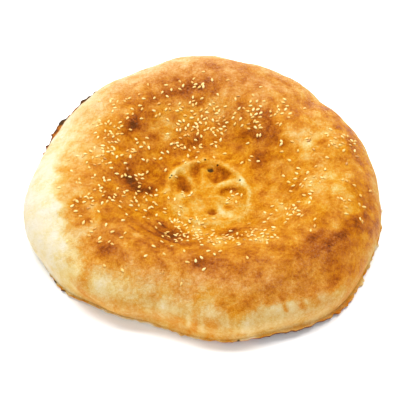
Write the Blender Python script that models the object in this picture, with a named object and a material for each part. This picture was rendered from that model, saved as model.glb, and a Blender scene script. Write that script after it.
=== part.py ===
"""A round tandoor flatbread: a puffed ring of crust round a thin, stamped middle, strewn with sesame.

The bread is one piece. A sphere primitive is moved onto the bread's section, which is worked out for
each bearing, and relief is added along its normals. Each seed is a small faceted grain, and one union
fuses the seeds to the crust. The flat underside rests on z = 0, below the middle of the plan.

Sizes are in millimetres and bearings in degrees, anticlockwise from +X. The mesh is in metres.
"""

import math
import random

import bmesh
import bpy
import numpy as np
from mathutils import Matrix, Vector
from mathutils.bvhtree import BVHTree

MM = 0.001

# Plan: the reach is the distance from the middle to the widest point of the side.
REACH = 139.0
BULGES = (  # bearing, spread in degrees, extra reach
    (38.0, 9.0, 0.8),
    (62.0, 12.0, 2.5),
    (93.0, 14.0, 5.5),
    (126.0, 7.0, 2.2),
    (160.0, 18.0, -2.6),
    (197.0, 15.0, 4.2),
    (234.0, 12.0, -2.0),
    (254.0, 18.5, -12.6),
    (314.0, 18.0, 9.4),
    (349.0, 22.0, 6.0),
)

# Section, from the middle outwards.
DISH_HEIGHT = 26.0
DISH_RADIUS = 35.0
CREST_RADIUS = 92.0
CREST_SHIFTS = ((325.0, 38.0, 7.0), (195.0, 30.0, 3.0), (255.0, 24.0, -5.0), (95.0, 20.0, 3.0))
CREST_HEIGHT = 43.0
CREST_SWELLS = ((30.0, 20.0, 1.5), (285.0, 30.0, 1.0), (150.0, 30.0, -3.0))
WIDEST_HEIGHT = 14.0
WIDEST_SAGS = ((145.0, 30.0, -2.0),)
SHOULDER_POWER = 2.2  # of the superellipse: 2 is an ellipse, and less is straighter
STRAIGHTER = ((150.0, 30.0, -0.6), (285.0, 50.0, -0.2))
TUCKS = ((10.0, 36.0, 2.5), (190.0, 26.0, 5.0), (80.0, 40.0, 4.0), (270.0, 50.0, 0.2))

# The lip is the crisp thin edge of the underside.
LIP_REACH = 1.5
LIP_FLARES = ((153.0, 16.0, 4.2), (222.0, 12.0, 0.8), (296.0, 12.0, 0.5))
LIP_THICKNESS = 1.6
LIP_ROUNDING = 0.6
LIP_LIFTS = ((150.0, 22.0, 5.5), (296.0, 16.0, 3.8), (262.0, 10.0, 0.6), (238.0, 16.0, 1.0), (20.0, 25.0, 1.5))
FLAT_SHARE = 0.78  # of the lip's reach, inside which the underside is flat

# The stamp's print: a raised ring and, inside it, petals pressed into the dough.
STAMP_AT = (6.0, -7.0)
RING_RADIUS, RING_WIDTH, RING_HEIGHT = 32.5, 3.2, 2.2
RING_SHIFTS = ((47.0, 32.0, -5.5), (180.0, 40.0, 1.0), (320.0, 45.0, 2.5))
PETALS = (  # x and y from the stamp's middle, half length, half width, bearing, flare, depth
    (-19.5, 9.5, 11.0, 5.0, 114.0, 0.0, 3.8),
    (-9.0, 17.0, 11.5, 5.4, 86.0, 0.0, 3.0),
    (6.5, 16.0, 9.0, 9.0, 66.0, 0.45, 3.8),
    (18.5, -0.5, 9.5, 7.5, 346.0, 0.1, 3.4),
    (16.5, -18.5, 9.5, 8.0, 315.0, 0.0, 1.5),
    (2.4, -22.0, 3.4, 2.8, 0.0, 0.0, 1.8),
    (-14.5, -17.5, 10.5, 7.5, 230.0, 0.0, 1.2),
)
PETAL_SLOPE = 0.34  # of the half size, to each side of a petal's edge

# Relief of the crust.
CREASES = (  # bearing and radius of one end, the same of the other, half width, depth
    (47.0, 114.0, 71.0, 114.0, 5.0, 2.0),
    (231.0, 57.0, 263.0, 66.0, 5.0, 2.2),
    (222.0, 66.0, 250.0, 70.0, 2.0, 0.9),
    (226.0, 73.0, 264.0, 75.0, 2.0, 1.1),
    (223.0, 80.5, 258.0, 81.5, 2.0, 0.9),
    (306.0, 51.0, 324.0, 58.0, 2.8, 1.4),
)
CREASE_FADE = 0.25  # of a crease's length, at each end
PLEATS = (  # bearing, spread in degrees, depth, and the radii between which it runs
    (41.0, 4.0, 1.2, 82.0, 145.0),
    (221.0, 2.5, 0.8, 112.0, 145.0),
    (254.0, 3.0, 0.6, 96.0, 145.0),
    (265.0, 2.2, 0.9, 96.0, 145.0),
    (272.0, 2.0, 0.8, 102.0, 145.0),
    (279.0, 2.2, 0.7, 96.0, 145.0),
    (288.0, 3.0, 0.6, 104.0, 145.0),
    (303.0, 3.0, 0.6, 108.0, 150.0),
)
PLEAT_FADE = 14.0
WAVE_SETS = (  # wavelength, count and height of the uneven lumps
    (85.0, 14, 0.9),
    (34.0, 22, 0.3),
)
WAVE_DRAW = 5

# The grid that is moved onto the section: its rows between one station and the next.
STATION_ROWS = (44, 26, 8, 3, 2, 17)
COLUMNS = 240
BODY_TRIANGLES = 4500

# Seeds: the places of all of them are drawn, and the solid carries the largest.
SEED_LENGTH, SEED_WIDTH, SEED_HEIGHT = 3.4, 2.0, 1.3
SEED_UNEVENNESS = 0.12
SEED_RISE = 0.15  # of a seed's height, from the crust to the seed's middle
SEED_GAP = 2.3
SEED_TRIES = 6
SEED_DRAW = 11
DROP_HEIGHT = 100.0  # from which a seed is dropped onto the crust
SOLID_SEEDS = 200
SOLID_SEED_GAP = 4.0
SEED_CLUSTERS = (  # x, y, spread along x, spread along y, count
    (1.0, 62.0, 12.0, 10.0, 76),
    (-8.0, 93.0, 13.0, 4.0, 14),
    (46.0, 62.0, 11.0, 11.0, 34),
    (-75.0, 48.0, 11.0, 11.0, 22),
    (-83.0, 21.0, 10.0, 8.0, 28),
    (-87.0, -25.0, 10.0, 14.0, 36),
    (-48.0, 2.0, 13.0, 11.0, 25),
    (-47.0, -25.0, 13.0, 9.0, 32),
    (-14.0, -44.0, 13.0, 8.0, 38),
    (14.0, -62.0, 14.0, 6.0, 36),
    (42.0, -62.0, 9.0, 5.0, 26),
    (63.0, -42.0, 12.0, 9.0, 27),
    (81.0, -11.0, 12.0, 11.0, 24),
    (110.0, 30.0, 8.0, 8.0, 14),
    (113.0, -25.0, 9.0, 14.0, 16),
    (81.0, 32.0, 13.0, 10.0, 12),
    (-17.0, 33.0, 12.0, 10.0, 22),
    (-69.0, -63.0, 12.0, 10.0, 13),
    (-19.0, -84.0, 24.0, 8.0, 18),
    (25.0, -10.0, 5.0, 4.0, 8),
    (-14.0, -10.0, 3.0, 3.0, 4),
    (-30.0, 72.0, 13.0, 8.0, 20),
    (-62.0, 66.0, 9.0, 7.0, 12),
    (-53.0, 29.0, 12.0, 10.0, 9),
    (34.0, 26.0, 9.0, 8.0, 7),
)

CRUST_COLOUR = (0.60, 0.27, 0.055, 1.0)
CRUST_ROUGHNESS = 0.5
SEED_COLOUR = (0.86, 0.66, 0.34, 1.0)
SEED_ROUGHNESS = 0.45
SHARP_ANGLE = 50.0


def bump(distance, spread):
    """A smooth hill of height 1 at distance 0."""
    return np.exp(-((distance / spread) ** 2))


def ease(share):
    """A smooth step from 0 to 1, level at both ends."""
    share = np.clip(share, 0.0, 1.0)
    return share * share * (3.0 - 2.0 * share)


def turned(bearing, other):
    """The angle between two bearings, from -180 to 180."""
    return (bearing - other + 180.0) % 360.0 - 180.0


def by_bearing(bearing, hills):
    """The sum of the hills, each given as its bearing, spread and height."""
    return sum(height * bump(turned(bearing, at), spread) for at, spread, height in hills)


def outline(bearing):
    """How far the side reaches from the middle."""
    return REACH + by_bearing(bearing, BULGES)


def crown_height(radius, crest, crest_height):
    """The top, from the dish in the middle to the crest of the ring."""
    climb = ease((radius - DISH_RADIUS) / (crest - DISH_RADIUS))
    return DISH_HEIGHT + (crest_height - DISH_HEIGHT) * climb


def section(bearing, station):
    """(radius, height) of points of the plain body.

    Station is 0 at the middle of the dish, 1 at the crest, 2 at the widest point, 3 at the foot,
    4 and 5 at the lip's upper and lower edge, and 6 at the middle of the underside.
    """
    reach = outline(bearing)
    widest_height = WIDEST_HEIGHT + by_bearing(bearing, WIDEST_SAGS)
    crest = CREST_RADIUS + by_bearing(bearing, CREST_SHIFTS)
    crest_height = CREST_HEIGHT + by_bearing(bearing, CREST_SWELLS)
    power = 2.0 / (SHOULDER_POWER + by_bearing(bearing, STRAIGHTER))
    foot = reach - by_bearing(bearing, TUCKS)
    lip = foot + LIP_REACH + by_bearing(bearing, LIP_FLARES)
    lift = by_bearing(bearing, LIP_LIFTS)
    lip_top = lift + LIP_THICKNESS

    leg = np.minimum(station.astype(int), 5)
    share = station - leg
    sine = np.sin(share * math.pi / 2.0)
    cosine = np.maximum(np.cos(share * math.pi / 2.0), 0.0)
    lip_under = lift * ease((1.0 - share - FLAT_SHARE) / (1.0 - FLAT_SHARE))
    radius = (
        share * crest,
        crest + (reach - crest) * sine**power,
        foot + (reach - foot) * cosine,
        foot + (lip - foot) * share,
        lip - LIP_ROUNDING * share,
        (lip - LIP_ROUNDING) * (1.0 - share),
    )
    height = (
        crown_height(share * crest, crest, crest_height),
        widest_height + (crest_height - widest_height) * cosine**power,
        lip_top + (widest_height - lip_top) * (1.0 - sine),
        lip_top - LIP_ROUNDING * share**2,
        lip_top - LIP_ROUNDING - (LIP_THICKNESS - LIP_ROUNDING) * share,
        lip_under,
    )
    return np.choose(leg, radius), np.choose(leg, height)


def plain_body(bearing, station):
    """The points of the plain body: the dish lies round the stamp, and the ring round the middle."""
    radius, height = section(bearing, station)
    angle = np.radians(bearing)
    dish = ease(1.0 - station)
    x = radius * np.cos(angle) + STAMP_AT[0] * dish
    y = radius * np.sin(angle) + STAMP_AT[1] * dish
    return np.stack((x, y, height), axis=-1)


def petal_shares(x, y):
    """For each petal of the stamp's print, how far each point lies in it, from 0 to 1."""
    shares = []
    for middle_x, middle_y, half_length, half_width, bearing, flare, _ in PETALS:
        across_x, across_y = x - STAMP_AT[0] - middle_x, y - STAMP_AT[1] - middle_y
        cosine, sine = math.cos(math.radians(bearing)), math.sin(math.radians(bearing))
        along = (across_x * cosine + across_y * sine) / half_length
        width = half_width * (1.0 + flare * np.clip(along, -1.5, 1.5))
        across = (across_y * cosine - across_x * sine) / width
        edge = (1.0 + PETAL_SLOPE - np.hypot(along, across)) / (2.0 * PETAL_SLOPE)
        shares.append(ease(edge))
    return shares


def ring_distance(x, y):
    """How far each point lies outside the crest of the stamp's raised ring."""
    x, y = x - STAMP_AT[0], y - STAMP_AT[1]
    return np.hypot(x, y) - RING_RADIUS - by_bearing(np.degrees(np.arctan2(y, x)), RING_SHIFTS)


def stamp_relief(x, y):
    """The raised ring of the stamp's print and the petals pressed in it."""
    height = RING_HEIGHT * bump(ring_distance(x, y), RING_WIDTH)
    for petal, share in zip(PETALS, petal_shares(x, y)):
        height = height - petal[-1] * share
    return height


def crease_relief(bearing, radius):
    """Creases, each a groove from one point to another that fades at its ends."""
    relief = 0.0
    for start, start_radius, end, end_radius, half_width, depth in CREASES:
        share = turned(bearing, start) / (end - start)
        line = start_radius + (end_radius - start_radius) * share
        fade = ease(share / CREASE_FADE) * ease((1.0 - share) / CREASE_FADE)
        relief = relief - depth * fade * bump(radius - line, half_width)
    return relief


def pleat_relief(bearing, radius):
    """Soft pleats that run outwards, down the side."""
    relief = 0.0
    for at, spread, depth, start, end in PLEATS:
        fade = ease((radius - start) / PLEAT_FADE) * ease((end - radius) / PLEAT_FADE + 1.0)
        relief = relief - depth * fade * bump(turned(bearing, at), spread)
    return relief


def lumps(points):
    """Uneven lumps: waves in directions drawn at random, whose sum mostly stays within the height."""
    draw = random.Random(WAVE_DRAW)
    relief = np.zeros(len(points))
    for wavelength, count, height in WAVE_SETS:
        for _ in range(count):
            direction = np.array([draw.gauss(0.0, 1.0) for _ in range(3)])
            direction *= 2.0 * math.pi / (wavelength * np.linalg.norm(direction))
            wave = np.cos(points @ direction + draw.uniform(0.0, 2.0 * math.pi))
            relief += wave * height * math.sqrt(2.0 / count)
    return relief


def relief(points, station):
    """How far each point moves along its normal: all of it above the foot, and none below."""
    x, y = points[:, 0], points[:, 1]
    bearing, radius = np.degrees(np.arctan2(y, x)), np.hypot(x, y)
    height = stamp_relief(x, y) + crease_relief(bearing, radius) + pleat_relief(bearing, radius)
    return ease(3.0 - station) * (height + lumps(points))


def body_mesh():
    """The body: a sphere moved onto the section, with the relief added along its normals."""
    grid = bmesh.new()
    rows = sum(STATION_ROWS)
    bmesh.ops.create_uvsphere(grid, u_segments=COLUMNS, v_segments=rows, radius=1.0)
    ball = np.array([vertex.co for vertex in grid.verts])
    bearing = np.degrees(np.arctan2(ball[:, 1], ball[:, 0]))
    row = np.arccos(np.clip(ball[:, 2], -1.0, 1.0)) / math.pi * rows
    station = np.interp(row, np.cumsum((0,) + STATION_ROWS), range(len(STATION_ROWS) + 1))
    points = plain_body(bearing, station)
    for vertex, point in zip(grid.verts, points):
        vertex.co = point
    grid.normal_update()
    moves = relief(points, station)
    normals = [vertex.normal.copy() for vertex in grid.verts]
    for vertex, normal, move in zip(grid.verts, normals, moves):
        vertex.co += normal * float(move)
    mesh = bpy.data.meshes.new("flatbread")
    grid.to_mesh(mesh)
    grid.free()
    return mesh


def principled(name, colour, roughness):
    """A material with one Principled shader."""
    made = bpy.data.materials.new(name)
    made.use_nodes = True
    shader = made.node_tree.nodes["Principled BSDF"]
    shader.inputs["Base Color"].default_value = colour
    shader.inputs["Roughness"].default_value = roughness
    shader.inputs["Metallic"].default_value = 0.0
    made.diffuse_color = colour
    return made


def apply_modifiers(thing):
    """Replaces the object's mesh with the one that its modifiers make."""
    graph = bpy.context.evaluated_depsgraph_get()
    made = bpy.data.meshes.new_from_object(thing.evaluated_get(graph))
    old = thing.data
    thing.modifiers.clear()
    thing.data = made
    bpy.data.meshes.remove(old)


def make_body(collection):
    """The bread without its seeds, with only as many faces as its form needs."""
    body = bpy.data.objects.new("flatbread", body_mesh())
    collection.objects.link(body)
    decimate = body.modifiers.new("fewer faces", "DECIMATE")
    decimate.ratio = BODY_TRIANGLES / (2 * COLUMNS * (sum(STATION_ROWS) - 1))
    decimate.use_collapse_triangulate = True
    apply_modifiers(body)
    body.data.materials.append(principled("golden crust", CRUST_COLOUR, CRUST_ROUGHNESS))
    return body


def seed_places():
    """(x, y, heading, size) of each seed, drawn round the clusters, clear of those before it."""
    draw = random.Random(SEED_DRAW)
    places = []
    for middle_x, middle_y, spread_x, spread_y, count in SEED_CLUSTERS:
        for _ in range(count):
            for _ in range(SEED_TRIES):
                x, y = draw.gauss(middle_x, spread_x), draw.gauss(middle_y, spread_y)
                if all(math.hypot(x - place[0], y - place[1]) > SEED_GAP for place in places):
                    heading = draw.uniform(0.0, 360.0)
                    size = 1.0 + draw.uniform(-SEED_UNEVENNESS, SEED_UNEVENNESS)
                    places.append((x, y, heading, size))
                    break
    return places


def largest_apart(places):
    """The largest seeds, each well clear of the larger ones."""
    chosen = []
    for place in sorted(places, key=lambda each: -each[3]):
        x, y = place[:2]
        clear = all(math.hypot(x - other[0], y - other[1]) > SOLID_SEED_GAP for other in chosen)
        if clear and len(chosen) < SOLID_SEEDS:
            chosen.append(place)
    return chosen


def seed_on(surface, place):
    """Where a seed lies: half sunk in the crust, in line with it. None where it would miss the crust."""
    x, y, heading, size = place
    point, normal, _, _ = surface.ray_cast(Vector((x, y, DROP_HEIGHT)), Vector((0.0, 0.0, -1.0)))
    if point is None:
        return None
    turn = normal.to_track_quat("Z", "Y").to_matrix().to_4x4()
    spin = Matrix.Rotation(math.radians(heading), 4, "Z")
    shape = (SEED_LENGTH / 2.0, SEED_WIDTH / 2.0, SEED_HEIGHT / 2.0)
    scale = Matrix.Diagonal([size * half for half in shape] + [1.0])
    middle = point + normal * (SEED_RISE * SEED_HEIGHT * size)
    return Matrix.Translation(middle) @ turn @ spin @ scale


def make_seeds(body, collection):
    """One faceted grain for each seed that the solid carries."""
    finish = principled("sesame", SEED_COLOUR, SEED_ROUGHNESS)
    surface = BVHTree.FromPolygons(
        [vertex.co for vertex in body.data.vertices],
        [polygon.vertices for polygon in body.data.polygons],
    )
    for place in largest_apart(seed_places()):
        lie = seed_on(surface, place)
        if lie is None:
            continue
        grain = bmesh.new()
        bmesh.ops.create_icosphere(grain, subdivisions=1, radius=1.0, matrix=lie)
        mesh = bpy.data.meshes.new("seed")
        grain.to_mesh(mesh)
        grain.free()
        mesh.materials.append(finish)
        collection.objects.link(bpy.data.objects.new("seed", mesh))


def fuse(body, collection):
    """Joins the collection's objects to the body, and removes them."""
    union = body.modifiers.new("seeds", "BOOLEAN")
    union.operation = "UNION"
    union.operand_type = "COLLECTION"
    union.collection = collection
    union.solver = "EXACT"
    union.material_mode = "TRANSFER"
    apply_modifiers(body)
    for grain in list(collection.objects):
        mesh = grain.data
        bpy.data.objects.remove(grain)
        bpy.data.meshes.remove(mesh)
    bpy.data.collections.remove(collection)


def settle(mesh):
    """Centres the bread over the origin, at its real size in metres."""
    corners = np.array([vertex.co for vertex in mesh.vertices])
    middle = (corners.min(axis=0) + corners.max(axis=0)) / 2.0
    shift = Matrix.Translation((-middle[0], -middle[1], 0.0))
    mesh.transform(Matrix.Scale(MM, 4) @ shift)
    mesh.shade_smooth()
    mesh.set_sharp_from_angle(angle=math.radians(SHARP_ANGLE))


def main():
    for thing in list(bpy.data.objects):
        bpy.data.objects.remove(thing)
    part = bpy.data.collections.new("flatbread")
    seeds = bpy.data.collections.new("seeds")
    for collection in (part, seeds):
        bpy.context.scene.collection.children.link(collection)
    body = make_body(part)
    make_seeds(body, seeds)
    fuse(body, seeds)
    settle(body.data)


if __name__ == "__main__":
    main()
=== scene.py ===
"""The looks of a round tandoor flatbread: its crust, browned and pale, and its sesame seeds.

The crust follows the same section and relief as the solid that it replaces, with a finer mesh,
finer relief, a ragged lip and a front that is drawn in a little. How brown, charred or floury it is
at each place is kept in the mesh's attributes, and the material turns them into colour, gloss and
grain. Its colour also holds painted light: painted highlights, painted shade in the wrinkles, the
pin holes, a crack and under the lip, and painted fill light on the front side. Sizes are in
millimetres and bearings in degrees, anticlockwise from +X, up to where a mesh is made: meshes are
in metres.
"""

import math
import random

import bpy
import numpy as np
from mathutils import Matrix, Vector
from mathutils.bvhtree import BVHTree


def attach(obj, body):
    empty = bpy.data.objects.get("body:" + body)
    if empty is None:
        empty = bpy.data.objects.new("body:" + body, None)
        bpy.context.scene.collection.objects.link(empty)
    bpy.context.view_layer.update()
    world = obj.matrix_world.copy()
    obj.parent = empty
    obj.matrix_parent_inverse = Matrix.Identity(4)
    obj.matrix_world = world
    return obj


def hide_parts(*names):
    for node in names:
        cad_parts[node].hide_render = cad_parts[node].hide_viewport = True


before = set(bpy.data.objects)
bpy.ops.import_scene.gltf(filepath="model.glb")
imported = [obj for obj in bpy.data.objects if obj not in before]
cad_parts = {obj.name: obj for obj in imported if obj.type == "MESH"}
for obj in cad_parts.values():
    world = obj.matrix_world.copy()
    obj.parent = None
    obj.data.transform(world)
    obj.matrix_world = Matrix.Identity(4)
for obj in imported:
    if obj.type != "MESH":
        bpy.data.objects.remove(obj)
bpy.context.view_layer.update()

MM = 0.001

# Stations go round the section, from 0 at the middle of the dish to the middle of the underside.
CREST, WIDEST, FOOT, LIP_UPPER, LIP_LOWER, UNDER_MIDDLE = 1.0, 2.0, 3.0, 4.0, 5.0, 6.0

# ---------------- form, as in the solid
# Only the stamp's print differs: it is a little shallower, its ring is narrower at the right, and
# its first four petals are shorter and lie a little aside.
REACH = 139.0
BULGES = (  # bearing, spread in degrees, extra reach: the rows of every table for by_bearing
    (38, 9, 0.8),
    (62, 12, 2.5),
    (93, 14, 5.5),
    (126, 7, 2.2),
    (160, 18, -2.6),
    (197, 15, 4.2),
    (234, 12, -2),
    (254, 18.5, -12.6),
    (314, 18, 9.4),
    (349, 22, 6),
)
DISH_HEIGHT = 26.0
DISH_RADIUS = 35.0
CREST_RADIUS = 92.0
CREST_SHIFTS = ((325, 38, 7), (195, 30, 3), (255, 24, -5), (95, 20, 3))
CREST_HEIGHT = 43.0
CREST_SWELLS = ((30, 20, 1.5), (285, 30, 1), (150, 30, -3))
WIDEST_HEIGHT = 14.0
WIDEST_SAGS = ((145, 30, -2),)
SHOULDER_POWER = 2.2  # of the superellipse: 2 is an ellipse, and less is straighter
STRAIGHTER = ((150, 30, -0.6), (285, 50, -0.2))
TUCKS = ((10, 36, 2.5), (190, 26, 5), (80, 40, 4), (270, 50, 0.2))
LIP_REACH = 1.5
LIP_FLARES = ((153, 16, 4.2), (222, 12, 0.8), (296, 12, 0.5))
LIP_THICKNESS = 1.6
LIP_ROUNDING = 0.6
LIP_LIFTS = ((150, 22, 5.5), (296, 16, 3.8), (262, 10, 0.6), (238, 16, 1), (20, 25, 1.5))
FLAT_SHARE = 0.78  # of the lip's reach, inside which the underside is flat
STAMP_AT = (6.0, -7.0)
RING_RADIUS, RING_WIDTH, RING_HEIGHT = 32.5, 3.2, 1.7
RING_SHIFTS = (  # bearing, spread in degrees, how much wider the ring is
    (47, 32, -6.2),
    (180, 40, 1),
    (320, 45, 2.5),
    (10, 14, -3.8),
    (322, 24, 2),
    (344, 13, -3.4),
)
PETALS = (  # x and y from the stamp's middle, half length, half width, bearing, flare, depth
    (-20.5, 7.8, 9.6, 4.6, 112, 0, 2.2),
    (-10.6, 17.5, 8.8, 4.4, 104, 0, 1.8),
    (6, 14.8, 7.6, 8, 62, 0.45, 2.3),
    (18.2, -4, 8.7, 6.8, 346, 0.1, 2.3),
    (16.5, -18.5, 9.5, 8, 315, 0, 1.5),
    (2.4, -22, 3.4, 2.8, 0, 0, 1.8),
    (-14.5, -17.5, 10.5, 7.5, 230, 0, 1.2),
)
PETAL_SLOPE = 0.38  # of the half size, to each side of a petal's edge
FLARE_LIMIT = 1.5  # of the half length, where a petal stops widening
CREASES = (  # bearing and radius of one end, the same of the other, half width, depth
    (47, 114, 71, 114, 5, 2),
    (231, 57, 263, 66, 5, 2.2),
    (222, 66, 250, 70, 2, 0.9),
    (226, 73, 264, 75, 2, 1.1),
    (223, 80.5, 258, 81.5, 2, 0.9),
    (306, 51, 324, 58, 2.8, 1.4),
)
CREASE_FADE = 0.25  # of its length, at each end
PLEATS = (  # bearing, spread in degrees, depth, and the radii between which it runs
    (41, 4, 1.2, 82, 145),
    (221, 2.5, 0.8, 112, 145),
    (254, 3, 0.6, 96, 145),
    (265, 2.2, 0.9, 96, 145),
    (272, 2, 0.8, 102, 145),
    (279, 2.2, 0.7, 96, 145),
    (288, 3, 0.6, 104, 145),
    (303, 3, 0.6, 108, 150),
)
PLEAT_FADE = 14.0
WAVE_SETS = ((85, 14, 0.9), (34, 22, 0.3))  # wavelength, count and height of the uneven lumps
WAVE_DRAW = 5

# ---------------- finer relief and lip, here only
FINE_WAVE_SETS = ((15, 30, 0.12), (7, 40, 0.06))
FINE_WAVE_DRAW = 8
BLISTERS = 260
BLISTER_REACHES = (34.0, 134.0)  # from the middle
BLISTER_CROWDING = 0.7  # less than 1 puts more of them outwards
BLISTERS_END = 2.2  # station
BLISTER_RADII = (1.6, 4.5)
BLISTER_RISE = 0.09  # of its radius
BLISTER_DRAW = 21
RAGS = ((24, 60, 0.4), (70, 150, 0.22))  # waves round the lip: lowest and highest count, size
RAG_STEP, RAG_SPLIT = 7, 2.5  # between the counts, and what a wave's size is divided by
RAG_DRAW = 4
CRUMBS, CRUMB_SIZE = 220, 0.5
CRUMB_SPREADS = (0.35, 1.1)  # degrees
CRUMBLIER = (  # bearing, spread in degrees, extra size of the crumbs
    (153, 9, 2),
    (136, 9, 2.2),
    (120, 8, 3.2),
    (219, 5, 0.8),
    (322, 15, 2),
    (352, 16, 1.8),
)
FLAKES = ((144.5, 1.3, 1.8), (133, 2, 2.2), (127, 2, 3), (300.5, 1.4, 1.2))
LIP_SHIFTS = (  # how far the lip stands out
    (200, 10, -2.2),
    (180, 16, -1),
    (145, 7, 2),
    (136, 6, 4.4),
    (127.5, 7, 6.6),
    (353, 16, 1.6),
    (318, 12, 0.6),
)
DRAWN_IN = (  # bearing, spread in degrees, how far the side and lip are drawn in
    (231, 10, 4.2),
    (249, 9, 2.8),
    (268, 12, 1.4),
    (291, 20, 1.7),
    (318, 9, 0.8),
    (335, 12, 0.8),
)
LIP_RAISED = ((231, 10, 0.9), (249, 9, 0.7), (268, 12, 0.5), (292, 20, 2.6))
LIP_HANGING = ((299, 17, 1.8),)  # how far its lower edge is lower
DRAWN_FROM, DRAWN_FADE = 1.2, 1.3  # stations, as the next three
LIP_FADE, LIP_END, LIP_END_FADE = 0.8, 5.3, 0.3
FINE_WRINKLES = (  # fine creases on the dish's front slope, as CREASES
    (214, 52, 244, 55, 1.3, 0.6),
    (222, 61.5, 252, 64.5, 1.3, 0.7),
    (220, 69.5, 258, 70.5, 1.3, 0.7),
    (216, 77, 250, 77.5, 1.3, 0.6),
    (226, 84.5, 246, 85, 1.2, 0.4),
    (50, 107, 64, 108, 1.6, 0.5),
    (50, 121, 66, 120, 1.6, 0.4),
    (276, 58, 300, 55, 1.6, 0.5),
)

# ---------------- mesh of the crust
TOP_CELLS = 208  # along each side of the square grid that is bent to the top
TOP_STATION = 1.5  # where the top's grid ends and the side's rows begin
UNDER_STATION = 5.25
SIDE_ROWS = ((TOP_STATION, 2, 18), (2, 3, 12), (3, 4, 5), (4, 5, 3), (5, UNDER_STATION, 6))

# ---------------- browning, painted light and shade
# The hem is the station where the golden top ends and the pale side begins. Inside it lies a band
# of pale gold, and then the browned top.
HEM = (  # bearing, station, softness, width of the band of pale gold
    (0, 1.98, 0.2, 0.1),
    (20, 1.95, 0.2, 0.14),
    (40, 1.86, 0.2, 0.2),
    (60, 1.8, 0.2, 0.24),
    (75, 1.74, 0.2, 0.24),
    (90, 1.72, 0.2, 0.28),
    (102, 1.62, 0.18, 0.3),
    (115, 1.58, 0.2, 0.34),
    (132, 1.66, 0.2, 0.44),
    (148, 1.56, 0.16, 0.4),
    (160, 1.43, 0.12, 0.28),
    (172, 1.37, 0.09, 0.14),
    (182, 1.31, 0.08, 0.12),
    (194, 1.26, 0.06, 0.09),
    (202, 1.3, 0.06, 0.1),
    (209, 1.4, 0.08, 0.12),
    (214, 1.4, 0.1, 0.12),
    (219, 1.48, 0.1, 0.1),
    (226, 1.5, 0.2, 0.12),
    (235, 1.44, 0.22, 0.14),
    (246, 1.56, 0.26, 0.24),
    (257, 1.56, 0.28, 0.26),
    (265, 1.58, 0.28, 0.26),
    (273, 1.7, 0.22, 0.2),
    (279, 1.78, 0.12, 0.08),
    (284, 1.72, 0.06, 0.03),
    (290.5, 1.63, 0.05, 0.02),
    (296, 1.6, 0.05, 0.02),
    (302, 1.65, 0.05, 0.03),
    (307, 1.7, 0.06, 0.04),
    (315, 1.78, 0.08, 0.05),
    (323, 1.88, 0.12, 0.06),
    (332, 1.95, 0.2, 0.1),
    (345, 2, 0.2, 0.1),
)
PALE_SIDE = (  # bearing, how much the side is baked below the hem
    (0, 0.18),
    (30, 0.19),
    (55, 0.16),
    (75, 0.19),
    (95, 0.19),
    (125, 0.18),
    (150, 0.13),
    (175, 0.08),
    (200, 0.05),
    (212, 0.07),
    (222, 0.17),
    (236, 0.27),
    (250, 0.27),
    (270, 0.26),
    (282, 0.23),
    (295, 0.18),
    (310, 0.26),
    (325, 0.35),
    (340, 0.26),
)
TOP_BAKE = 0.54
BAND_BAKE = 0.24
STAMP_BAKE = 0.44
RING_PALER_ALL = 0.1
RING_PALER = (  # bearing, spread in degrees, how much paler the ring's crest is: partly less baked, partly painted highlight
    (348, 22, 0.18),
    (10, 14, 0.24),
    (56, 28, 0.28),
    (140, 34, 0.18),
    (250, 50, 0.1),
)
RING_PALER_SHIFT, RING_PALER_WIDTH = 0.4, 2.2  # outwards of the crest
PALEST_TOP = 0.17
WRINKLE_BAKE_AND_SHADE = 0.24  # extra bake for each millimetre of the fine wrinkles' depth: partly browning, partly painted shade in their grooves
BLISTER_BAKE = 0.08
STAMP_FADE = 6.0  # inwards of the ring's crest
MOTTLE_SETS, MOTTLE_DRAW = ((28, 24, 0.05), (11, 30, 0.05)), 78  # as WAVE_SETS, in shares baked
MOTTLE_BELOW = 0.4  # its strength on the pale side
WANDER_SETS, WANDER_DRAW = ((40, 16, 0.02), (12, 24, 0.02)), 77  # of the hem, in stations
STREAK_WAVE, STREAK_DEGREES, STREAK_STRETCH = 6.0, 2.0, 6.0  # of the streaks down the side
STREAK_SETS, STREAK_DRAW = ((STREAK_WAVE, 30, 0.02), (2.3 * STREAK_WAVE, 20, 0.025)), 81
STREAKS_AT = ((264, 34, 1),)
STREAKS_FROM, STREAKS_FADE = 1.3, 0.4  # stations
PAINTED_FILL_PLACES = ((272, 56, 1), (325, 26, 0.6))  # where painted fill light warms and lightens the front side
PAINTED_FILL_TINT = (1.32, 1.12, 0.88)  # what the colour there is multiplied by, for the painted fill light
PAINTED_FILL_FROM, PAINTED_FILL_FADE, PAINTED_FILL_END = 1.25, 0.9, 5.1  # stations
PETAL_BAKES = (0.27, 0.24, 0.2, 0.08, 0, 0.18, -0.02)
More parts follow.
